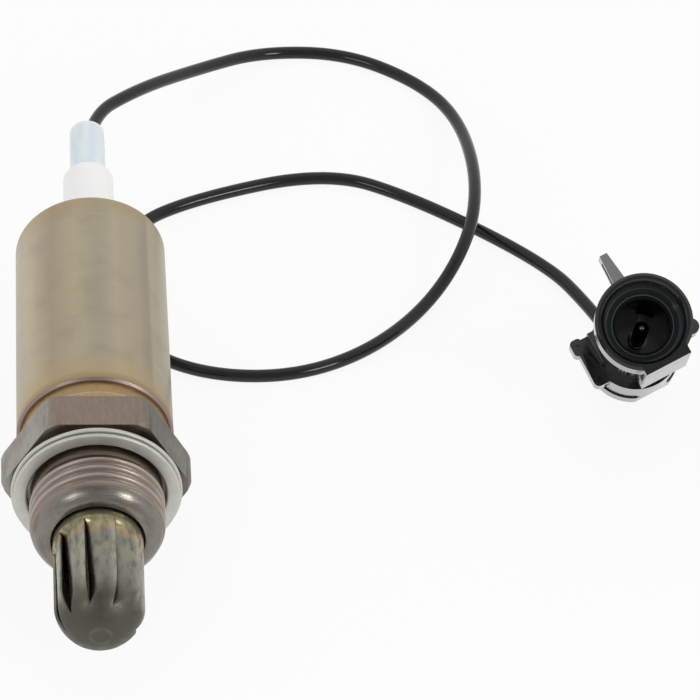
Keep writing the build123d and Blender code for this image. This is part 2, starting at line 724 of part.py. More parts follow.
with BuildPart() as connector_pin:
    with BuildSketch(plug_section):
        turned_face(
            (WIRE_R, TERMINAL_REAR),
            (TERMINAL_R, TERMINAL_REAR),
            (TERMINAL_R, TERMINAL_COLLAR),
            (TERMINAL_COLLAR_R, TERMINAL_COLLAR),
            (TERMINAL_COLLAR_R, SOCKET_FLOOR),
            (PIN_R, SOCKET_FLOOR),
            (PIN_R, PIN_TIP - PIN_TAPER),
            (PIN_R * 0.4, PIN_TIP),
            (0, PIN_TIP),
            (0, WIRE_END),
            (WIRE_R, WIRE_END),
        )
    revolve(axis=plug_axis)

# ---- Files ---------------------------------------------------------------------------------------

pieces = {
    "hex_shell": hex_shell,
    "seat_gasket": seat_gasket,
    "protection_tube": protection_tube,
    "seat_seal_ring": seat_seal_ring,
    "sensing_thimble": sensing_thimble,
    "talc_packing": talc_packing,
    "support_ceramic": support_ceramic,
    "crimp_ring": crimp_ring,
    "contact_element": contact_element,
    "contact_rod": contact_rod,
    "insulator_tube": insulator_tube,
    "outer_can": outer_can,
    "disc_spring": disc_spring,
    "rear_bushing": rear_bushing,
    "lead_sleeve": lead_sleeve,
    "crimp_ferrule": crimp_ferrule,
    "lead_wire": lead_wire,
    "connector_housing": connector_housing,
    "cable_seal": cable_seal,
    "connector_pin": connector_pin,
}
for label, piece in pieces.items():
    piece.part.label = label
    export_step(piece.part, f"parts/{label}.step")
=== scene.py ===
import logging
from dataclasses import dataclass, field
from math import atan2, cos, degrees, hypot, pi, radians, sin, sqrt
from typing import Sequence

import bmesh
import bpy
from mathutils import Matrix, Vector


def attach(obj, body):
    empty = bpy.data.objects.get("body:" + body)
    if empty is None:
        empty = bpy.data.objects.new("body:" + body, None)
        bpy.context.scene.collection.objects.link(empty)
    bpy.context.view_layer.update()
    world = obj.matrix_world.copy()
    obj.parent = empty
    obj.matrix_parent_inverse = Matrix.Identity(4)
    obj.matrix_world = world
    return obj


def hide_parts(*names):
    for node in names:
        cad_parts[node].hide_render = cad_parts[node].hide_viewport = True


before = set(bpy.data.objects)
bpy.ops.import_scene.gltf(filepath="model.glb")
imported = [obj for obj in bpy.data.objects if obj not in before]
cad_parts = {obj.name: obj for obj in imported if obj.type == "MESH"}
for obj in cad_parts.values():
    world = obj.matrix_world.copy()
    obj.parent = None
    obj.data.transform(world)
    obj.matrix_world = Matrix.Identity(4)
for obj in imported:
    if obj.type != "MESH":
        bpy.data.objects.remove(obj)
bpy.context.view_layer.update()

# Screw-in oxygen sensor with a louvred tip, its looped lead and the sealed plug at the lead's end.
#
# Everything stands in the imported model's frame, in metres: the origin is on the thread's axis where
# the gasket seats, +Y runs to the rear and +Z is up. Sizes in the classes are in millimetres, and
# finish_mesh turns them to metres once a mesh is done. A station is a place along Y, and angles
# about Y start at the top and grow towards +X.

MM = 0.001
BODY = "root"
FLOOR_Z = -11.37
PLUG_REAR = Vector((74.524, 35.638, -7.263))
PLUG_AXIS = Vector((-0.0608683, -0.6439193, 0.7626683))
PLUG_UP = Vector((-0.4563, 0.6973, 0.5528))
LOUVRES = 9
FIRST_SLIT = -19.0
LOG = logging.getLogger("oxygen_sensor")

Span = tuple[float, float]
Place = tuple[float, float, float]
Profile = Sequence[Span]
Stops = tuple[tuple[float, str], ...]
Bands = tuple[tuple[Span, float, str], ...]
Mesh = bmesh.types.BMesh
Piece = bpy.types.Object
Material = bpy.types.Material
Tree = bpy.types.NodeTree
Node = bpy.types.Node
Socket = bpy.types.NodeSocket
Paint = Socket | str


# ---- Small tools ----


def smoothstep(low: float, high: float, value: float) -> float:
    """Rise smoothly from 0 at low to 1 at high."""
    share = min(max((value - low) / (high - low), 0.0), 1.0)
    return share * share * (3 - 2 * share)


def arc(centre: Span, radius: float, start: float, end: float, steps: int) -> list[Span]:
    """Give the points of an arc round a (radius, station) centre, between angles in degrees."""
    turns = [radians(start + (end - start) * i / steps) for i in range(steps + 1)]
    return [(centre[0] + radius * cos(turn), centre[1] + radius * sin(turn)) for turn in turns]


def stations(start: float, end: float, step: float) -> list[float]:
    """Divide the way from start to end into equal steps of about the given length."""
    count = max(1, round(abs(end - start) / step + 0.499))
    return [start + (end - start) * i / count for i in range(count + 1)]


def turned(profile: Profile, steps: int, start: float = 0.0, closed: bool = False) -> Mesh:
    """Spin a profile once about the Y axis.

    Args:
        profile: Its (radius, station) points.
        steps: Number of columns round the axis.
        start: Angle of the first column, in degrees.
        closed: Whether the last point joins the first.
    """
    bm = bmesh.new()
    across, up = sin(radians(start)), cos(radians(start))
    verts = [bm.verts.new((r * across, y, r * up)) for r, y in profile]
    pairs = list(zip(verts, verts[1:]))
    if closed:
        pairs.append((verts[-1], verts[0]))
    edges = [bm.edges.new(pair) for pair in pairs]
    bmesh.ops.spin(bm, geom=verts + edges, cent=(0, 0, 0), axis=(0, 1, 0), angle=2 * pi,
                   steps=steps, use_merge=True, use_duplicate=False)
    bmesh.ops.remove_doubles(bm, verts=bm.verts[:], dist=0.0005)
    bmesh.ops.dissolve_degenerate(bm, edges=bm.edges[:], dist=0.0001)
    bmesh.ops.recalc_face_normals(bm, faces=bm.faces[:])
    return bm


def polar(point: Vector) -> Span:
    """Radius about the Y axis, and angle from the top towards +X in degrees."""
    return hypot(point.x, point.z), degrees(atan2(point.x, point.z))


def set_radius(vert: bmesh.types.BMVert, radius: float) -> None:
    """Move a vertex in or out to a radius about the Y axis."""
    old = hypot(vert.co.x, vert.co.z)
    vert.co.x *= radius / old
    vert.co.z *= radius / old


def place_new(name: str, data: bpy.types.ID) -> Piece:
    """Put new data into the scene as an object at the origin."""
    made = bpy.data.objects.new(name, data)
    bpy.context.scene.collection.objects.link(made)
    return made


def finish_mesh(bm: Mesh, name: str, sharp: float = 30.0) -> Piece:
    """Turn a mesh in millimetres into a smooth-shaded object in metres, at the origin.

    Args:
        bm: The mesh, which is freed.
        name: Name of the piece.
        sharp: Edges that turn by more than this many degrees stay sharp.
    """
    bmesh.ops.scale(bm, vec=(MM, MM, MM), verts=bm.verts[:])
    mesh = bpy.data.meshes.new(name)
    bm.to_mesh(mesh)
    bm.free()
    mesh.shade_smooth()
    mesh.set_sharp_from_angle(angle=radians(sharp))
    return place_new(name, mesh)


def copy_solid(node: str, merge: float) -> Mesh:
    """Copy a solid in millimetres and join its vertices that lie closer than merge."""
    bm = bmesh.new()
    bm.from_mesh(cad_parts[node].data)
    bmesh.ops.scale(bm, vec=(1 / MM, 1 / MM, 1 / MM), verts=bm.verts[:])
    bmesh.ops.remove_doubles(bm, verts=bm.verts[:], dist=merge)
    bmesh.ops.dissolve_degenerate(bm, edges=bm.edges[:], dist=merge / 2)
    return bm


def soften(piece: Piece, width: float, angle: float) -> None:
    """Round a piece's edges that turn by more than an angle in degrees, to a width."""
    bevel = piece.modifiers.new("edge_break", "BEVEL")
    bevel.width = width * MM
    bevel.segments = 2
    bevel.limit_method = "ANGLE"
    bevel.angle_limit = radians(angle)
    bevel.use_clamp_overlap = True
    bevel.harden_normals = False


# ---- Materials ----


def linear(hex_colour: str) -> tuple[float, float, float, float]:
    """Turn an sRGB hex colour into the linear colour that the shaders take."""
    parts = [int(hex_colour[i:i + 2], 16) / 255 for i in (1, 3, 5)]
    return (*[c / 12.92 if c <= 0.04045 else ((c + 0.055) / 1.055) ** 2.4 for c in parts], 1.0)


def add_node(tree: Tree, kind: str, settings: dict | None = None,
             links: dict | None = None) -> Node:
    """Add a node to a tree.

    Args:
        tree: The material's or world's node tree.
        kind: The node's type name, without the "ShaderNode" it starts with.
        settings: Values for the node's settings, or for its inputs by name or number.
        links: Sockets to link, by input name or number.
    """
    made = tree.nodes.new("ShaderNode" + kind)
    for key, value in (settings or {}).items():
        if isinstance(key, str) and hasattr(made, key):
            setattr(made, key, value)
        else:
            made.inputs[key].default_value = value
    for key, socket in (links or {}).items():
        tree.links.new(socket, made.inputs[key])
    return made


def map_range(tree: Tree, value: Socket, source: Span, target: Span = (0.0, 1.0)) -> Socket:
    """Map a value from one range to another, clamped and smoothed."""
    made = add_node(tree, "MapRange", {
        "interpolation_type": "SMOOTHSTEP", "From Min": source[0], "From Max": source[1],
        "To Min": target[0], "To Max": target[1]}, {"Value": value})
    return made.outputs["Result"]


@dataclass
class Surface:
    """A material under construction: its tree, shader and object coordinates."""

    material: Material
    tree: Tree
    shader: Node
    place: Socket
    station: Socket
    radius: Socket
    angle: Socket

    @classmethod
    def start(cls, name: str, colour: str, metallic: float, roughness: float,
              **sockets: float) -> "Surface":
        """Start a material.

        Args:
            name: The material's name.
            colour: Its base colour, sRGB hex.
            metallic: 1 for bare metal, else 0.
            roughness: Roughness before any pattern.
            **sockets: Other shader inputs, by name with underscores for spaces.
        """
        material = bpy.data.materials.new(name)
        material.use_nodes = True
        tree = material.node_tree
        shader = tree.nodes["Principled BSDF"]
        sockets |= {"Base_Color": linear(colour), "Metallic": metallic, "Roughness": roughness}
        for key, value in sockets.items():
            shader.inputs[key.replace("_", " ")].default_value = value
        material.diffuse_color = linear(colour)
        place = add_node(tree, "TexCoord").outputs["Object"]
        axes = add_node(tree, "SeparateXYZ", links={0: place})
        across = add_node(tree, "VectorMath", {"operation": "MULTIPLY", 1: (1, 0, 1)}, {0: place})
        radius = add_node(tree, "VectorMath", {"operation": "LENGTH"},
                          {0: across.outputs["Vector"]})
        angle = add_node(tree, "Math", {"operation": "ARCTAN2"},
                         {0: axes.outputs["X"], 1: axes.outputs["Z"]})
        return cls(material, tree, shader, place, axes.outputs["Y"], radius.outputs["Value"],
                   angle.outputs[0])

    def noise(self, size_mm: float, stretch: Place = (1, 1, 1), detail: float = 3.0,
              place: Socket | None = None) -> Socket:
        """Noise with features of a real size.

        Args:
            size_mm: Feature size.
            stretch: How much longer the features are along each axis.
            detail: Octaves.
            place: Coordinates to use in place of the object's own.
        """
        mapping = add_node(self.tree, "Mapping", {"Scale": [1 / s for s in stretch]},
                           {"Vector": place or self.place})
        made = add_node(self.tree, "TexNoise",
                        {"Scale": 1 / (size_mm * MM), "Detail": detail},
                        {"Vector": mapping.outputs["Vector"]})
        return made.outputs["Fac"]

    def around(self, reach_mm: float, size_mm: float, stretch: Place,
               detail: float = 3.0) -> Socket:
        """Noise unrolled at a radius: along the arc, along the axis and outwards."""
        arc_length = self.math("MULTIPLY", self.angle, reach_mm * MM)
        unrolled = add_node(self.tree, "CombineXYZ",
                            links={"X": arc_length, "Y": self.station, "Z": self.radius})
        return self.noise(size_mm, stretch, detail, unrolled.outputs[0])

    def feed(self, made: Node, values: dict[int, Socket | float | str]) -> None:
        """Give a node's inputs, by number, a socket, a number or an sRGB hex colour each."""
        for index, value in values.items():
            if isinstance(value, Socket):
                self.tree.links.new(value, made.inputs[index])
            else:
                plain = linear(value) if isinstance(value, str) else value
                made.inputs[index].default_value = plain

    def math(self, operation: str, *values: Socket | float) -> Socket:
        """Work out a value from sockets and numbers."""
        made = add_node(self.tree, "Math", {"operation": operation})
        self.feed(made, dict(enumerate(values)))
        return made.outputs[0]

    def vector(self, operation: str, first: Socket, second: Vector, result: str) -> Socket:
        """Work out a result of that name from a vector socket and a constant vector."""
        made = add_node(self.tree, "VectorMath", {"operation": operation, 1: second}, {0: first})
        return made.outputs[result]

    def spread(self, value: Socket, source: Span, target: Span = (0.0, 1.0)) -> Socket:
        """Map a plain value from one range to another, clamped and smoothed."""
        return map_range(self.tree, value, source, target)

    def fade(self, length: Socket, source_mm: Span, target: Span = (0.0, 1.0)) -> Socket:
        """Map a length, with its range given in millimetres."""
        return map_range(self.tree, length, (source_mm[0] * MM, source_mm[1] * MM), target)

    def mix(self, factor: Socket | float, first: Paint, second: Paint) -> Socket:
        """Mix two colours by a socket or a number."""
        made = add_node(self.tree, "Mix", {"data_type": "RGBA"})
        self.feed(made, {0: factor, 6: first, 7: second})
        return made.outputs[2]

    def bands(self, length: Socket, colour: Socket, bands: Bands) -> Socket:
        """Lay bands over a colour, each as (range in millimetres, its share, its sRGB hex)."""
        for span, share, over in bands:
            colour = self.mix(self.fade(length, span, (0.0, share)), colour, over)
        return colour

    def ramp(self, factor: Socket, stops: Stops) -> Socket:
        """Colour a value by stops of (place, sRGB hex)."""
        made = add_node(self.tree, "ValToRGB", links={"Fac": factor})
        elements = made.color_ramp.elements
        for i, (place, colour) in enumerate(stops):
            element = elements[i] if i < 2 else elements.new(place)
            element.position = place
            element.color = linear(colour)
        return made.outputs["Color"]

    def use(self, name: str, socket: Socket) -> None:
        """Feed a socket to the shader's input of that name."""
        self.tree.links.new(socket, self.shader.inputs[name])

    def bump(self, height: Socket, depth_mm: float) -> None:
        """Raise a bump whose full step is depth_mm high."""
        made = add_node(self.tree, "Bump", {"Distance": depth_mm * MM}, {"Height": height})
        self.use("Normal", made.outputs["Normal"])


@dataclass(frozen=True)
class PlatedShellSteel:
    """Nickel-plated free-cutting steel, turned from hexagon bar and browned by a test firing.

    The stations and radii, in millimetres, say where one tint gives way to the next.
    """

    flat: str = "#8c7b72"
    flat_cloud: str = "#92837a"
    side: str = "#98958e"
    side_cloud: str = "#8d857b"
    painted_shade_right: str = "#69635b"
    root: str = "#8c7f77"
    flank: str = "#94877d"
    crest: str = "#aaa49c"
    rust: str = "#86604c"
    lip: str = "#848079"
    lip_scuff: str = "#716860"
    collar: str = "#a98f6a"
    collar_cloud: str = "#b59d78"
    roughness: float = 0.36
    top_flat_ends: Span = (radians(27), radians(33))
    painted_shade_turn: Span = (0.2, 0.6)
    thread_r: Span = (8.45, 9.0)
    thread_reach: float = 9.0
    lip_reach: float = 8.0
    lip_at: Span = (-6.7, -7.1)
    smooth_at: Span = (-6.7, -7.2)
    thread_at: Span = (1.3, 0.9)
    hexagon_at: Span = (1.9, 2.1)
    collar_at: Span = (7.7, 7.8)
    # A painted highlight along the shoulder's edge, then the collar's own tan.
    painted_highlight_line: Bands = (((9.2, 9.35), 1.0, "#e0cda6"), ((9.62, 9.7), 1.0, "#a98f6a"))

    def hexagon(self, s: Surface) -> Socket:
        """Colour the flats: brown on top, greyer at the sides, with painted shade over the right-hand
        flats.
        """
        cloud = s.noise(0.5, (1, 3, 1), 4)
        top = s.mix(s.spread(cloud, (0.25, 0.65)), self.flat_cloud, self.flat)
        sides = s.mix(s.spread(s.noise(5.0, detail=2), (0.3, 0.6)), self.side_cloud, self.side)
        # Painted shade: the flats turned towards the right are darkened.
        right = s.spread(s.angle, self.painted_shade_turn, (0.0, 0.8))
        sides = s.mix(right, sides, self.painted_shade_right)
        return s.mix(s.spread(s.math("ABSOLUTE", s.angle), self.top_flat_ends), top, sides)

    def thread(self, s: Surface) -> Socket:
        """Colour the thread by its radius: darker in its roots as painted shade, paler on its crests
        as partly wear and partly a painted highlight, with rust in patches.
        """
        height = s.fade(s.radius, self.thread_r)
        # Painted shade in the roots and a painted highlight on the crests, stepped by radius.
        clean = s.ramp(height, ((0.0, self.root), (0.7, self.flank), (1.0, self.crest)))
        patches = s.around(self.thread_reach, 1.3, (3, 1, 1), 4)
        return s.mix(s.spread(patches, (0.45, 0.8), (0.0, 0.4)), clean, self.rust)

    def nose(self, s: Surface) -> Socket:
        """Colour the rounded nose with its scuffs."""
        scuffs = s.around(self.lip_reach, 1.1, (3, 1, 1), 5)
        return s.mix(s.spread(scuffs, (0.4, 0.7), (0.0, 0.8)), self.lip, self.lip_scuff)

    def rear(self, s: Surface) -> Socket:
        """Colour the tan collar, with a painted highlight line along the edge of its shoulder."""
        tan = s.mix(s.noise(3.0), self.collar, self.collar_cloud)
        return s.bands(s.station, tan, self.painted_highlight_line)

    def make(self) -> Material:
        """Make the plated steel, browner in the thread's roots with painted shade there, and golden
        behind the hexagon with a painted highlight on the collar's shoulder.
        """
        s = Surface.start("plated_turned_steel", self.flat, 1.0, self.roughness)
        body = s.mix(s.fade(s.station, self.thread_at), self.hexagon(s), self.thread(s))
        body = s.mix(s.fade(s.station, self.lip_at), body, self.nose(s))
        s.use("Base Color", s.mix(s.fade(s.station, self.collar_at), body, self.rear(s)))
        grain = s.noise(0.22, (1, 9, 1))
        rings = s.around(self.thread_reach, 0.14, (14, 1, 1), 2)
        marks = add_node(s.tree, "Mix", links={
            0: s.fade(s.station, self.hexagon_at), 2: rings, 3: grain}).outputs[0]
        wear = s.spread(marks, (0.25, 0.75), (self.roughness - 0.08, self.roughness + 0.14))
        smoother = s.fade(s.station, self.smooth_at, (0.0, -0.1))
        s.use("Roughness", s.math("ADD", wear, smoother))
        s.bump(marks, 0.012)
        return s.material


@dataclass(frozen=True)
class SatinStripSteel:
    """Cold-rolled strip, blanked and folded into a crush gasket."""

    light: str = "#d6d5ce"
    dark: str = "#c0bfb8"
    reach: float = 10.2

    def make(self) -> Material:
        """Make the strip, pale and satin, with fine marks round the ring."""
        s = Surface.start("folded_strip_steel", self.light, 1.0, 0.55)
        s.use("Base Color", s.mix(s.noise(1.4), self.dark, self.light))
        rings = s.around(self.reach, 0.1, (20, 1, 1))
        s.use("Roughness", s.spread(rings, (0.2, 0.8), (0.48, 0.62)))
        s.bump(rings, 0.003)
        return s.material


@dataclass(frozen=True)
class TintedTubeSteel:
    """Deep-drawn stainless tube, its root tinted by heat and its dome left dark and smudged.

    The temper's stops run from its first station to its last. The panels' painted shade and painted
    highlight fade out past either end of the louvres.
    """

    barrel: str = "#8a8a81"
    smudge: str = "#5c5b54"
    painted_shade_side: str = "#3f3e38"
    painted_highlight_side: str = "#bfbba9"
    temper_at: Span = (-27.0, -7.0)
    temper: Stops = (
        (0.0, "#58564d"), (0.17, "#58564d"), (0.3, "#7d7c72"), (0.5, "#8a8a81"),
        (0.62, "#94917c"), (0.68, "#868a80"), (0.715, "#8b8584"), (0.75, "#a58e77"),
        (0.79, "#b3a281"), (0.84, "#989474"), (0.9, "#9a9276"), (1.0, "#8d886c"))
    wander: float = 2.6
    panels_front: Span = (-24.0, -21.0)
    panels_rear: Span = (-10.3, -11.8)
    # A painted highlight ring round the pole's dimple and painted shade inside it.
    pole: Bands = (((1.7, 1.3), 0.2, "#8f8b7d"), ((1.3, 1.1), 0.8, "#57544b"))
    dull_at: Span = (-20.0, -24.0)

    def heat(self, s: Surface) -> Socket:
        """Colour the tube along its axis, with edges that wander."""
        shift = s.math("MULTIPLY_ADD", s.noise(3.0, detail=2), self.wander * MM,
                       -self.wander / 2 * MM)
        place = add_node(s.tree, "MapRange", {
            "From Min": self.temper_at[0] * MM, "From Max": self.temper_at[1] * MM},
            {"Value": s.math("ADD", s.station, shift)})
        return s.ramp(place.outputs["Result"], self.temper)

    def panels(self, s: Surface, tint: Socket) -> Socket:
        """Paint shade on each pressed panel beside its slit and a highlight at its other side."""
        turn = s.math("MULTIPLY_ADD", s.angle, LOUVRES / (2 * pi),
                      LOUVRES - FIRST_SLIT * LOUVRES / 360)
        share = s.math("FRACT", turn)
        # Painted shade beside the slit and a painted highlight before the next one.
        across = s.mix(s.spread(share, (0.05, 0.5), (0.2, 0.0)), tint, self.painted_shade_side)
        across = s.mix(s.spread(share, (0.7, 0.96), (0.0, 0.4)), across, self.painted_highlight_side)
        within = s.math("MULTIPLY", s.fade(s.station, self.panels_front),
                        s.fade(s.station, self.panels_rear))
        return s.mix(within, tint, across)

    def make(self) -> Material:
        """Make the tube's steel with faint temper colours where it enters the shell."""
        s = Surface.start("drawn_stainless_heat_tinted", self.barrel, 1.0, 0.3)
        tint = s.bands(s.radius, self.panels(s, self.heat(s)), self.pole)
        smudge = s.noise(0.9, (1, 2.5, 1), 5)
        s.use("Base Color", s.mix(s.spread(smudge, (0.42, 0.8), (0.0, 0.85)), tint, self.smudge))
        duller = s.fade(s.station, self.dull_at, (0.0, 0.14))
        s.use("Roughness", s.math("ADD", s.spread(smudge, (0.3, 0.7), (0.25, 0.4)), duller))
        s.bump(s.noise(0.15, (1, 12, 1), 2), 0.004)
        return s.material


@dataclass(frozen=True)
class SatinCanSteel:
    """Deep-drawn stainless can, straw-coloured by heat, with soft draw marks along it.

    The stops round it run from its left side over its top to its right side, and paint reflection
    bands on it.
    """

    straw: str = "#bcb096"
    grey: str = "#aba392"
    cloud: str = "#988b7d"
    # Painted reflections: lighter and darker bands by the angle round the can.
    around: Stops = (
        (0.0, "#bcb5a3"), (0.12, "#bfb497"), (0.24, "#a4937d"), (0.38, "#b3a78d"),
        (0.53, "#a6a18c"), (0.64, "#b9ac93"), (0.78, "#aca18a"), (0.845, "#8f8977"),
        (0.87, "#b1a995"), (1.0, "#b7b0a0"))
    painted_reflection_share: float = 0.6
    along: Bands = (
        ((18.5, 12.4), 0.65, "#b8a07a"), ((13.6, 12.2), 0.6, "#96805f"),
        ((44.0, 49.4), 0.5, "#b09a78"), ((12.2, 12.06), 1.0, "#94827a"))
    reach: float = 10.4

    def make(self) -> Material:
        """Make the can's steel: grey streaks along it, painted reflection bands round it, golden at
        the front, darker at its rim.
        """
        s = Surface.start("deep_drawn_stainless_straw", self.straw, 1.0, 0.42)
        streaks = s.around(self.reach, 5.0, (1, 9, 1), 2)
        body = s.mix(s.spread(streaks, (0.3, 0.7)), self.grey, self.straw)
        # Lay the painted reflection bands over the streaks.
        turn = s.spread(s.angle, (-pi / 2, pi / 2))
        body = s.mix(self.painted_reflection_share, body, s.ramp(turn, self.around))
        clouds = s.spread(s.noise(4.0, detail=5), (0.4, 0.8), (0.0, 0.35))
        body = s.mix(clouds, body, self.cloud)
        s.use("Base Color", s.bands(s.station, body, self.along))
        rings = s.around(self.reach, 0.14, (30, 1, 1), 2)
        s.use("Roughness", s.spread(rings, (0.25, 0.75), (0.36, 0.5)))
        s.bump(rings, 0.003)
        return s.material


@dataclass(frozen=True)
class TurnedFluoropolymer:
    """White PTFE bushing, turned, waxy and slightly translucent."""

    base: str = "#f1f1ef"
    dark: str = "#fafaf9"
    light: str = "#fefefd"
    reach: float = 3.5

    def make(self) -> Material:
        """Make the white polymer with faint turning marks."""
        s = Surface.start("turned_white_ptfe", self.base, 0.0, 0.48, IOR=1.38,
                          Subsurface_Weight=0.25, Subsurface_Scale=1.2 * MM)
        rings = s.around(self.reach, 0.2, (30, 1, 1), 2)
        s.use("Base Color", s.mix(rings, self.dark, self.light))
        s.bump(rings, 0.004)
        return s.material


@dataclass(frozen=True)
class ShrunkFilm:
    """Cloudy fluoropolymer sleeve shrunk over the crimp, with a pale blue cast."""

    base: str = "#d3e2ea"
    blue: str = "#dbe8ef"
    pale: str = "#e8f0f3"
    rear: str = "#eef2f3"
    rear_at: Span = (73.6, 74.8)

    def make(self) -> Material:
        """Make the sleeve's film, bluer in streaks and paler at its rear end."""
        s = Surface.start("shrunk_cloudy_fluoropolymer", self.base, 0.0, 0.34, IOR=1.36,
                          Subsurface_Weight=0.5, Subsurface_Scale=1.5 * MM)
        streak = s.noise(1.2, (1, 8, 1))
        body = s.mix(s.spread(streak, (0.3, 0.7)), self.blue, self.pale)
        s.use("Base Color", s.mix(s.fade(s.station, self.rear_at), body, self.rear))
        s.bump(s.noise(0.8, detail=2), 0.02)
        return s.material


@dataclass(frozen=True)
class ExtrudedJacket:
    """Black cross-linked jacket, extruded smooth and glossy."""

    base: str = "#141413"
    dark: str = "#0a0b0b"
    light: str = "#17181a"

    def make(self) -> Material:
        """Make the jacket, with a slight orange peel that breaks up its highlight."""
        s = Surface.start("extruded_black_jacket", self.base, 0.0, 0.25, IOR=1.5,
                          Specular_IOR_Level=0.4)
        s.use("Base Color", s.mix(s.noise(1.5), self.dark, self.light))
        s.use("Roughness", s.spread(s.noise(0.9), (0.3, 0.7), (0.1, 0.16)))
        s.bump(s.noise(0.35, detail=2), 0.003)
        return s.material


@dataclass(frozen=True)
class MouldedNylon:
    """Black glass-filled nylon, moulded in a lightly eroded tool.

    The stops of the rings run over ring_r, the radii from the socket's wall to the rim's edge, and
    paint highlight lines on the edges of the mouth's steps.
    """

    base: str = "#161818"
    dark: str = "#0f1111"
    scuff: str = "#25292a"
    strap: str = "#74767a"
    socket: str = "#1c1d1b"
    rings: Stops = (
        (0.0, "#1b1e1e"), (0.17, "#1b1e1e"), (0.18, "#5a6063"), (0.2, "#5a6063"),
        (0.215, "#25292a"), (0.46, "#2a2e2f"), (0.475, "#565c5f"), (0.49, "#25292a"),
        (0.6, "#25292a"), (0.65, "#0d0f0f"), (1.0, "#0d0f0f"))
    ring_r: Span = (3.0, 7.0)
    strap_sheen_from: Span = (7.0, 8.5)
    mouth_at: Span = (29.0, 29.3)
    socket_r: Span = (3.68, 3.6)
    sheen_r: Span = (3.6, 3.75)

    def places(self, s: Surface) -> tuple[Socket, Socket, Socket]:
        """Place in the plug: how far beyond its axis, ahead of its rear and away from its axis."""
        place = s.vector("SUBTRACT", s.place, PLUG_REAR * MM, "Vector")
        across = s.vector("CROSS_PRODUCT", place, PLUG_AXIS, "Vector")
        radius = add_node(s.tree, "VectorMath", {"operation": "LENGTH"}, {0: across})
        return (s.vector("DOT_PRODUCT", place, PLUG_UP, "Value"),
                s.vector("DOT_PRODUCT", place, PLUG_AXIS, "Value"), radius.outputs["Value"])

    def make(self) -> Material:
        """Make the nylon: scuffed, with a painted sheen that makes the strap paler, and painted
        highlight lines on the rings in the mouth.
        """
        s = Surface.start("moulded_black_nylon", self.base, 0.0, 0.2, IOR=1.53)
        beyond, ahead, radius = self.places(s)
        scuff = s.spread(s.noise(1.7, detail=6), (0.55, 0.8))
        body = s.mix(scuff, self.dark, self.scuff)
        # Painted sheen: the strap, away beyond the axis, is made paler.
        body = s.mix(s.fade(beyond, self.strap_sheen_from), body, self.strap)
        # Painted highlight lines on the ring edges in the mouth.
        rings = s.ramp(s.fade(radius, self.ring_r), self.rings)
        body = s.mix(s.fade(ahead, self.mouth_at), body, rings)
        s.use("Base Color", s.mix(s.fade(radius, self.socket_r), body, self.socket))
        sheen = s.math("MULTIPLY", s.fade(radius, self.sheen_r, (0.35, 1.0)),
                       s.fade(ahead, self.mouth_at, (1.0, 0.42)))
        s.use("Specular IOR Level", sheen)
        s.use("Roughness", s.spread(s.noise(0.5), (0.3, 0.7), (0.06, 0.14)))
        s.bump(s.noise(0.18, detail=2), 0.005)
        return s.material


@dataclass(frozen=True)
class PlainFinish:
    """A small piece's finish: one real material with a fine surface of its own."""

    name: str
    light: str
    dark: str
    metallic: float
    roughness: float
    grain_mm: float
    depth_mm: float

    def make(self) -> Material:
        """Make the finish from its two shades and its grain."""
        s = Surface.start(self.name, self.light, self.metallic, self.roughness)
        grain = s.noise(self.grain_mm)
        s.use("Base Color", s.mix(grain, self.dark, self.light))
        wear = (self.roughness - 0.05, self.roughness + 0.08)
        s.use("Roughness", s.spread(grain, (0.2, 0.8), wear))
        s.bump(grain, self.depth_mm)
        return s.material


# Fired zirconia and alumina are dense and fine, pressed talc is chalky, and the small metal parts
# are drawn or blanked bright.
ZIRCONIA = PlainFinish("fired_zirconia", "#e3dfd2", "#d3cec0", 0.0, 0.45, 0.1, 0.002)
ALUMINA = PlainFinish("fired_alumina", "#efece4", "#e2ded4", 0.0, 0.5, 0.12, 0.003)
TALC = PlainFinish("pressed_talc", "#d2d1c8", "#bcbbb2", 0.0, 0.8, 0.2, 0.02)
SOFT_RING = PlainFinish("annealed_steel", "#aaa8a2", "#8e8c87", 1.0, 0.42, 0.3, 0.004)
SPRING = PlainFinish("hardened_spring_steel", "#77797b", "#5c5e60", 1.0, 0.34, 0.3, 0.003)
# The pin's brass is painted dark, as painted shade for the deep socket that it stands in.
PIN_BRASS = PlainFinish("brass_darkened_as_painted_shade", "#605b54", "#4b4740", 1.0, 0.18, 0.4, 0.002)
CONTACT = PlainFinish("drawn_nickel_alloy", "#c2beb4", "#a7a399", 1.0, 0.3, 0.2, 0.002)
SEAL_RUBBER = PlainFinish("moulded_silicone", "#3d5a49", "#314a3b", 0.0, 0.55, 0.2, 0.006)


# ---- Camera, floor and light ----


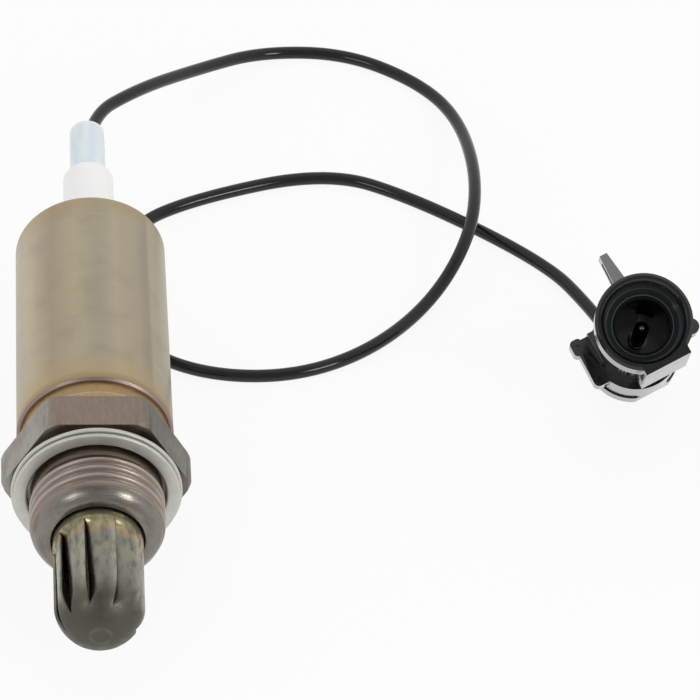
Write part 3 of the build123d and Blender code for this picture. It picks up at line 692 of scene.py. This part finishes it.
@dataclass
class Studio:
    """The camera, the pale floor and the soft light round the part."""

    camera_at: Place = (-19.921, -595.151, 562.116)
    right: Place = (0.9979, -0.0491, 0.0429)
    up: Place = (0.0009, 0.6692, 0.7431)
    lens_mm: float = 318.36
    sensor_mm: float = 36.0
    clip: Span = (0.05, 20.0)
    floor_half: float = 900.0
    floor_colour: str = "#f2f2f2"
    white_share: float = 0.9
    sky_strength: float = 0.9
    dim_strength: float = 0.48
    dim_from: Span = (0.35, 0.95)
    boxes: tuple[tuple[str, Place, float, float], ...] = (
        ("right_box", (560, -480, 470), 260, 1.7), ("left_box", (-520, -560, 560), 300, 1.0))
    boxes_aim: Place = (35, 35, 0)

    def place_camera(self) -> None:
        """Put the camera where it looks down on the part along its view's own axes."""
        camera = bpy.data.cameras.new("camera")
        camera.lens = self.lens_mm
        camera.sensor_width = self.sensor_mm
        camera.clip_start, camera.clip_end = self.clip
        holder = place_new("camera", camera)
        right = Vector(self.right).normalized()
        back = right.cross(Vector(self.up)).normalized()
        up = back.cross(right)
        turn = Matrix((right, up, back)).transposed().to_4x4()
        holder.matrix_world = Matrix.Translation(Vector(self.camera_at) * MM) @ turn
        bpy.context.scene.camera = holder

    def lay_floor(self) -> None:
        """Lay the floor, which looks white but keeps the part's shadow."""
        bm = bmesh.new()
        bmesh.ops.create_grid(bm, x_segments=1, y_segments=1, size=self.floor_half)
        bmesh.ops.translate(bm, verts=bm.verts[:], vec=(0, 0, FLOOR_Z))
        floor = finish_mesh(bm, "floor")
        material = bpy.data.materials.new("matt_white_sweep")
        material.use_nodes = True
        tree = material.node_tree
        tree.nodes.clear()
        path = add_node(tree, "LightPath")
        seen = add_node(tree, "Math", {"operation": "MAXIMUM"}, {
            0: path.outputs["Is Camera Ray"], 1: path.outputs["Is Glossy Ray"]})
        lit = add_node(tree, "BsdfDiffuse", {"Color": linear(self.floor_colour)})
        white = add_node(tree, "Emission", {"Color": (1, 1, 1, 1), "Strength": 1.0})
        share = add_node(tree, "Math", {"operation": "MULTIPLY", 1: self.white_share},
                         {0: seen.outputs[0]})
        both = add_node(tree, "MixShader",
                        links={0: share.outputs[0], 1: lit.outputs[0], 2: white.outputs[0]})
        add_node(tree, "OutputMaterial", links={"Surface": both.outputs[0]})
        floor.data.materials.append(material)

    def light(self) -> None:
        """Light the part with a pale room, dimmer behind the camera, and two soft boxes."""
        world = bpy.data.worlds.new("pale_sky")
        bpy.context.scene.world = world
        world.use_nodes = True
        tree = world.node_tree
        tree.nodes.clear()
        path = add_node(tree, "LightPath")
        way = add_node(tree, "TexCoord").outputs["Generated"]
        towards = Vector(self.camera_at).normalized()
        facing = add_node(tree, "VectorMath", {"operation": "DOT_PRODUCT", 1: towards}, {0: way})
        strength = map_range(tree, facing.outputs["Value"], self.dim_from,
                             (self.sky_strength, self.dim_strength))
        sky = add_node(tree, "Background", {"Color": (1, 1, 1, 1)}, {"Strength": strength})
        white = add_node(tree, "Background", {"Color": (1, 1, 1, 1), "Strength": 1.0})
        both = add_node(tree, "MixShader", links={
            0: path.outputs["Is Camera Ray"], 1: sky.outputs[0], 2: white.outputs[0]})
        add_node(tree, "OutputWorld", links={"Surface": both.outputs[0]})
        for box in self.boxes:
            self.soft_box(*box)
        bpy.context.scene.view_settings.view_transform = "Standard"

    def soft_box(self, name: str, at: Place, size: float, watts: float) -> None:
        """Hang a square soft box of a size in millimetres so that it faces the part."""
        lamp = bpy.data.lights.new(name, "AREA")
        lamp.shape = "SQUARE"
        lamp.size = size * MM
        lamp.energy = watts
        holder = place_new(name, lamp)
        aim = Vector(self.boxes_aim) - Vector(at)
        holder.matrix_world = (Matrix.Translation(Vector(at) * MM)
                               @ aim.to_track_quat("-Z", "Y").to_matrix().to_4x4())


# ---- Pieces ----


def seat(piece: Piece, finish: Material, node: str) -> None:
    """Give a piece its material, hang it on the body, hide the CAD node it stands for and log which
    node that is.
    """
    piece.data.materials.clear()
    piece.data.materials.append(finish)
    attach(piece, BODY)
    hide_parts(node)
    LOG.info("%s stands for %s", piece.name, node)


@dataclass
class Lead:
    """The lead, laid in a loop beside the sensor, from the crimp to the terminal in the plug."""

    wire_r: float = 0.91
    lie_z: float = -10.46
    hump_z: float = -5.5
    declared_length: float = 296.5
    ring_steps: int = 6
    span_steps: int = 12

    def route(self) -> list[Place]:
        """Give the points that the lead is bent round, as the solid's own route has them."""
        low, high = self.lie_z, self.hump_z
        return [
            (0.0, 68.5, 0.0), (0.0, 78.0, 0.0), (7.6, 87.0, -2.0), (16.5, 97.5, -7.0),
            (26.0, 105.7, low), (38.5, 105.4, low), (48.8, 98.8, low), (54.0, 89.4, -9.4),
            (55.4, 72.3, high), (53.7, 59.1, high), (48.1, 50.7, low), (38.9, 40.4, low),
            (28.0, 35.1, low), (16.0, 35.4, low), (6.7, 40.7, low), (5.1, 53.3, low),
            (5.6, 66.2, low), (15.0, 72.6, low), (34.5, 78.8, low), (47.0, 72.7, low),
            (64.5, 58.8, low), (70.0, 49.6, low), (74.779, 38.337, low),
            (74.037, 30.487, -1.162),
        ]

    def build(self, plug_pieces: Sequence[Piece]) -> None:
        curve = bpy.data.curves.new("lead", "CURVE")
        curve.dimensions = "3D"
        curve.bevel_depth = self.wire_r * MM
        curve.bevel_resolution = self.ring_steps
        curve.use_fill_caps = True
        curve.resolution_u = self.span_steps
        spline = curve.splines.new("NURBS")
        points = self.route()
        spline.points.add(len(points) - 1)
        for point, place in zip(spline.points, points):
            point.co = (*[c * MM for c in place], 1.0)
        spline.order_u = 3
        spline.use_endpoint_u = True
        piece = place_new("lead", curve)
        seat(piece, ExtrudedJacket().make(), "lead_wire")


@dataclass
class Shell:
    """The steel shell: lip, thread, hexagon and collar in one turned and milled piece."""

    columns: int = 240
    pitch: float = 1.5
    crest_y: float = -2.0
    major_r: float = 9.0
    root_r: float = 8.42
    crest_half: float = 0.09
    flank: float = 0.52
    row: float = 0.07
    run_out: Span = (-7.3, -6.65)
    relief_y: float = -1.2
    front_y: float = -8.5
    nose_y: float = -5.3
    nose_r: float = 6.3
    nose_turn: int = 60
    nose_step: int = 6
    mouth: Profile = ((6.15, -5.9), (6.15, -8.2), (6.19, -8.42))
    shoulder: Profile = ((8.75, -1.15), (8.75, 1.3), (10.2, 1.3), (10.2, 2.2))
    flats: float = 22.0
    hexagon: Profile = ((12.15, 2.2), (12.6, 2.9), (12.6, 7.35), (12.2, 7.75))
    ring_and_collar: Profile = ((10.3, 7.75), (10.3, 9.3), (10.2, 9.5), (10.0, 9.6), (9.9, 9.6),
                                (9.9, 18.6))
    lip_and_bore: Profile = ((9.5, 19.8), (8.5, 21.2), (6.4, 21.2), (6.4, 20.2), (7.8, 20.2),
                             (7.8, 3.2), (7.2, 3.2), (7.2, -5.9))
    near: float = 0.01
    inset: float = 0.02

    def profile(self) -> list[Span]:
        """Give the shell's closed section, with the hexagon as a plain collar."""
        reach = self.nose_y - self.front_y
        wide = self.major_r - self.nose_r
        nose = [(self.nose_r + wide * sin(radians(a)), self.nose_y - reach * cos(radians(a)))
                for a in range(0, self.nose_turn, self.nose_step)]
        thread_front = self.nose_y - reach * cos(radians(self.nose_turn))
        thread = [(self.nose_r + wide * sqrt(1 - (min(0.0, y - self.nose_y) / reach) ** 2), y)
                  for y in stations(thread_front, self.relief_y, self.row)]
        return [*self.mouth, *nose, *thread, *self.shoulder, *self.hexagon,
                *self.ring_and_collar, *self.lip_and_bore]

    def mill_hexagon(self, bm: Mesh) -> None:
        """Cut six flats, which leaves curved chamfers at both faces."""
        (front_r, front), (corner_r, front_edge), (_, rear_edge), (rear_r, rear) = self.hexagon
        front_slope = (front_edge - front) / (corner_r - front_r)
        rear_slope = (rear - rear_edge) / (corner_r - rear_r)
        for vert in bm.verts:
            radius, angle = polar(vert.co)
            inside = front - self.near < vert.co.y < rear + self.near
            if radius < self.flats / 2 or not inside:
                continue
            off_middle = (angle + 30) % 60 - 30
            side = min(self.flats / 2 / cos(radians(off_middle)), corner_r)
            if vert.co.y < front + self.near or vert.co.y > rear - self.near:
                side = min(radius, side - self.inset)
            elif vert.co.y < (front + rear) / 2:
                vert.co.y = front + max(0.0, side - front_r) * front_slope + self.inset
            else:
                vert.co.y = rear - max(0.0, side - rear_r) * rear_slope - self.inset
            set_radius(vert, side)

    def thread_height(self, angle: float, station: float) -> float:
        """Height of the thread, 0 at its root and 1 at its crest."""
        phase = (station - self.crest_y) / self.pitch - angle / 360
        from_crest = abs((phase + 0.5) % 1 - 0.5) * self.pitch
        return smoothstep(0.0, 1.0, 1 - (from_crest - self.crest_half) / self.flank)

    def cut_thread(self, bm: Mesh) -> None:
        """Sink the helical groove, which runs out into the nose and into the relief."""
        for vert in bm.verts:
            radius, angle = polar(vert.co)
            inside = self.run_out[0] < vert.co.y < self.relief_y + self.near
            if not inside or radius < self.root_r:
                continue
            fade = smoothstep(*self.run_out, vert.co.y)
            depth = (self.major_r - self.root_r) * (1 - self.thread_height(angle, vert.co.y))
            set_radius(vert, min(radius, self.major_r - fade * depth))

    def build(self) -> None:
        """Turn, mill and thread the shell."""
        bm = turned(self.profile(), self.columns, closed=True)
        self.mill_hexagon(bm)
        self.cut_thread(bm)
        bmesh.ops.recalc_face_normals(bm, faces=bm.faces[:])
        piece = finish_mesh(bm, "shell_body", sharp=34)
        seat(piece, PlatedShellSteel().make(), "hex_shell")


@dataclass
class Gasket:
    """The crush gasket: a strip folded back on itself at its inner edge."""

    inner_r: float = 9.2
    front_r: float = 11.05
    rear_r: float = 11.37
    thickness: float = 1.3
    ply: float = 0.58
    edge_round: float = 0.22
    fold_round: float = 0.35
    columns: int = 180

    def build(self) -> None:
        """Turn the folded section."""
        e, f, t, p = self.edge_round, self.fold_round, self.thickness, self.ply
        profile = [
            *arc((self.inner_r + f, f), f, 180, 270, 5),
            *arc((self.front_r - e, e), e, 270, 360, 5),
            *arc((self.front_r - e, p - e), e, 0, 90, 5),
            (self.inner_r + p, p), (self.inner_r + p, t - p),
            *arc((self.rear_r - e, t - p + e), e, 270, 360, 5),
            *arc((self.rear_r - e, t - e), e, 0, 90, 5),
            *arc((self.inner_r + f, t - f), f, 90, 180, 5),
        ]
        bm = turned(profile, self.columns, closed=True)
        seat(finish_mesh(bm, "crush_gasket"), SatinStripSteel().make(),
             "seat_gasket")


@dataclass
class LouvredTube:
    """The drawn protection tube with panels pressed in, each open along one edge."""

    radius: float = 6.0
    wall: float = 0.5
    tip_y: float = -26.3
    side_end_y: float = -6.4
    flange: Profile = ((6.0, -5.9), (7.1, -5.9), (7.1, -5.4))
    columns_each: int = 24
    dome_steps: int = 30
    row: float = 0.22
    front_y: float = -24.5
    step_y: float = -10.7
    end_y: float = -9.8
    rear_depth: float = 0.8
    front_depth: float = 1.6
    deepest_y: float = -21.5
    panel_share: float = 0.95
    ease: float = 1.5
    crease: float = 0.12
    dimple_r: float = 1.25
    dimple: float = 0.25
    dimple_edge: Span = (0.6, 1.0)
    edge_degrees: float = 0.1
    edge_share: float = 0.01

    def profile(self) -> list[Span]:
        """Give the tube's outside line, from its pole to its flange."""
        centre_y = self.tip_y + self.radius
        dome = arc((0, centre_y), self.radius, -90, 0, self.dome_steps)
        side = [(self.radius, y) for y in stations(centre_y, self.side_end_y, self.row)[1:]]
        return [*dome, *side, *self.flange]

    def pressed(self, radius: float, share: float, station: float) -> float:
        """Radius of the wall after pressing.

        The press tool's face runs nearly straight along the tube, a little deeper towards the
        tip, so its channel comes out by itself where the dome falls away under it.

        Args:
            radius: Radius of the wall before pressing.
            share: Way across the panel, 0 at its free edge and 1 at the next free edge.
            station: Place along the axis.
        """
        across = max(0.0, 1 - share / self.panel_share) ** self.ease
        along = 1 - smoothstep(self.step_y, self.end_y, station)
        forward = min(max((self.step_y - station) / (self.step_y - self.deepest_y), 0.0), 1.0)
        depth = self.rear_depth + (self.front_depth - self.rear_depth) * forward
        tool = self.radius - depth * along * across
        gap = (radius - tool) / self.crease
        if gap < -1 or across == 0:
            return radius
        return tool if gap > 1 else radius - self.crease * (gap + 1) ** 2 / 4

    def slit_edges(self, bm: Mesh) -> list[bmesh.types.BMEdge]:
        """Find the edges along which the tube is sheared."""
        pitch = 360 / LOUVRES
        found = []
        for edge in bm.edges:
            angles = [polar(vert.co)[1] - FIRST_SLIT for vert in edge.verts]
            on_slit = all(abs((a + pitch / 2) % pitch - pitch / 2) < self.edge_degrees
                          for a in angles)
            low, high = sorted(vert.co.y for vert in edge.verts)
            along = high - low > self.row / 20
            if on_slit and along and low > self.front_y and high < self.end_y:
                found.append(edge)
        return found

    def press(self, bm: Mesh) -> None:
        """Shear the wall along each slit and press the panel beside it in."""
        bmesh.ops.split_edges(bm, edges=self.slit_edges(bm))
        pitch = 360 / LOUVRES
        moves = []
        for vert in bm.verts:
            if not self.front_y < vert.co.y < self.end_y:
                continue
            radius, angle = polar(vert.co)
            share = ((angle - FIRST_SLIT) % pitch) / pitch
            if min(share, 1 - share) < self.edge_share:
                beside = sum((face.calc_center_median() for face in vert.link_faces), Vector())
                off = (polar(beside)[1] - angle + 180) % 360 - 180
                sheared = any(edge.is_boundary for edge in vert.link_edges)
                share = 0.0 if sheared and off > 0 else 1.0
            moves.append((vert, self.pressed(radius, share, vert.co.y)))
        for vert, radius in moves:
            set_radius(vert, radius)

    def build(self) -> None:
        """Draw the tube, press its louvres and its pole, and give it its wall."""
        bm = turned(self.profile(), LOUVRES * self.columns_each, start=FIRST_SLIT)
        self.press(bm)
        for vert in bm.verts:
            radius, _ = polar(vert.co)
            if vert.co.y < self.tip_y + 1:
                edge = smoothstep(*self.dimple_edge, radius / self.dimple_r)
                vert.co.y += self.dimple * (1 - edge)
        piece = finish_mesh(bm, "louvred_tube", sharp=40)
        wall = piece.modifiers.new("wall", "SOLIDIFY")
        wall.thickness = self.wall * MM
        wall.offset = -1
        wall.use_even_offset = False
        seat(piece, TintedTubeSteel().make(), "protection_tube")


@dataclass
class RearEnd:
    """The can, the white bushing and the sleeve over the crimp."""

    can_front: float = 11.75
    can_rear: float = 49.4
    can_front_r: float = 10.5
    can_rear_r: float = 10.27
    can_columns: int = 240
    collar: Profile = ((9.9, 21.2), (9.9, 11.75))
    rim_cut: float = 0.33
    rim_round: float = 0.12
    wall: float = 0.55
    shoulder_round: float = 0.9
    bushing_r: float = 3.5
    bushing_rear: float = 64.5
    bushing_round: float = 0.25
    bushing_flange: Profile = ((0.8, 45.9), (6.0, 45.9), (6.0, 48.85), (3.5, 48.85))
    bushing_bore: Profile = ((2.475, 64.5), (2.475, 57.0), (0.8, 57.0))
    sleeve_r: float = 2.475
    sleeve_ends: Span = (57.0, 74.8)
    sleeve_round: float = 0.3
    sleeve_row: float = 0.5
    sleeve_bore: Profile = ((1.05, 74.8), (1.05, 72.5), (1.7, 72.5), (1.7, 57.0))
    waist: float = 0.05
    waist_at: Span = (71.5, 73.0)
    columns: int = 96

    def can(self) -> None:
        """Draw the can, with a rolled rear shoulder and a thin front rim."""
        r, rim = self.shoulder_round, self.rim_round
        shoulder = (self.can_rear_r - r, self.can_rear - r)
        profile = [
            *self.collar, (self.can_front_r - self.rim_cut, self.can_front),
            *arc((self.can_front_r - rim, self.can_front + self.rim_cut), rim, 315, 360, 3),
            *arc(shoulder, r, 0, 90, 10),
            (self.bushing_r, self.can_rear), (self.bushing_r, self.can_rear - self.wall),
            *reversed(arc(shoulder, r - self.wall, 0, 90, 6)),
        ]
        bm = turned(profile, self.can_columns, closed=True)
        seat(finish_mesh(bm, "drawn_can"), SatinCanSteel().make(), "outer_can")

    def bushing(self) -> None:
        """Turn the bushing, with its flange behind the can's end wall."""
        b = self.bushing_round
        outside = arc((self.bushing_r - b, self.bushing_rear - b), b, 0, 90, 5)
        profile = [*self.bushing_flange, *outside, *self.bushing_bore]
        bm = turned(profile, self.columns, closed=True)
        seat(finish_mesh(bm, "white_bushing"), TurnedFluoropolymer().make(),
             "rear_bushing")

    def sleeve(self) -> None:
        """Shrink the sleeve over the crimp, slightly waisted where the crimp ends."""
        e, (front, rear) = self.sleeve_round, self.sleeve_ends
        outside = [(self.sleeve_r - self.waist * smoothstep(*self.waist_at, y), y)
                   for y in stations(front, rear - e, self.sleeve_row)]
        end = arc((outside[-1][0] - e, rear - e), e, 0, 90, 5)
        profile = [*outside, *end[1:], *self.sleeve_bore]
        bm = turned(profile, self.columns, closed=True)
        seat(finish_mesh(bm, "crimp_sleeve"), ShrunkFilm().make(), "lead_sleeve")

    def build(self) -> None:
        """Build the three pieces."""
        self.can()
        self.bushing()
        self.sleeve()


@dataclass
class Plug:
    """The moulded plug: block and hinged cap, barrel, rim and strap in one piece."""

    sharp: float = 28.0
    edge_break: float = 0.12
    merge: float = 0.002
    flat_degrees: float = 1.0
    tip_round: float = 0.36
    tip_depth: float = 0.01

    def copy_of(self, node: str) -> Mesh:
        """Copy a solid in millimetres, with the triangles of each face joined."""
        bm = copy_solid(node, self.merge)
        bmesh.ops.dissolve_limit(bm, angle_limit=radians(self.flat_degrees),
                                 verts=bm.verts[:], edges=bm.edges[:])
        return bm

    def housing(self) -> Piece:
        """Dress a copy of the moulded solid, its edges broken."""
        piece = finish_mesh(self.copy_of("connector_housing"), "plug_housing", sharp=self.sharp)
        soften(piece, self.edge_break, self.sharp)
        seat(piece, MouldedNylon().make(), "connector_housing")
        return piece

    def pin(self) -> Piece:
        """Dress a copy of the pin, with its tip rounded."""
        bm = self.copy_of("connector_pin")
        ahead = max(vert.co.dot(PLUG_AXIS) for vert in bm.verts)
        tip = [edge for edge in bm.edges
               if all(vert.co.dot(PLUG_AXIS) > ahead - self.tip_depth for vert in edge.verts)]
        bmesh.ops.bevel(bm, geom=tip, offset=self.tip_round, offset_type="OFFSET", segments=3,
                        profile=0.5, affect="EDGES", material=-1)
        piece = finish_mesh(bm, "plug_pin", sharp=45)
        seat(piece, PIN_BRASS.make(), "connector_pin")
        return piece


@dataclass
class Cell:
    """The zirconia cell, the same form as its solid with a clean pole at either side of its tip."""

    merge: float = 0.0005
    sharp: float = 30.0

    def build(self) -> None:
        """Dress a copy of the solid."""
        piece = finish_mesh(copy_solid("sensing_thimble", self.merge), "zirconia_cell", self.sharp)
        seat(piece, ZIRCONIA.make(), "sensing_thimble")


@dataclass
class KeptSolids:
    """The solids that show little or not at all, which keep their form and get a finish."""

    finishes: dict[str, PlainFinish] = field(default_factory=lambda: {
        "seat_seal_ring": SOFT_RING, "talc_packing": TALC, "support_ceramic": ALUMINA,
        "crimp_ring": SOFT_RING, "contact_element": CONTACT, "contact_rod": CONTACT,
        "insulator_tube": ALUMINA, "disc_spring": SPRING, "crimp_ferrule": CONTACT,
        "cable_seal": SEAL_RUBBER})

    def dress(self) -> None:
        """Give each solid its material, made once for all that share it."""
        made: dict[PlainFinish, Material] = {}
        for node, finish in self.finishes.items():
            if finish not in made:
                made[finish] = finish.make()
            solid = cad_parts[node]
            solid.data.materials.clear()
            solid.data.materials.append(made[finish])
            LOG.info("%s is dressed as %s", node, finish.name)


def main() -> None:
    """Build the studio, then the lead and the plug, then the sensor."""
    logging.basicConfig(level=logging.INFO)
    studio = Studio()
    studio.place_camera()
    studio.lay_floor()
    studio.light()
    plug = Plug()
    Lead().build([plug.housing(), plug.pin(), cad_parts["cable_seal"]])
    Shell().build()
    Gasket().build()
    LouvredTube().build()
    RearEnd().build()
    Cell().build()
    KeptSolids().dress()


if __name__ == "__main__":
    main()
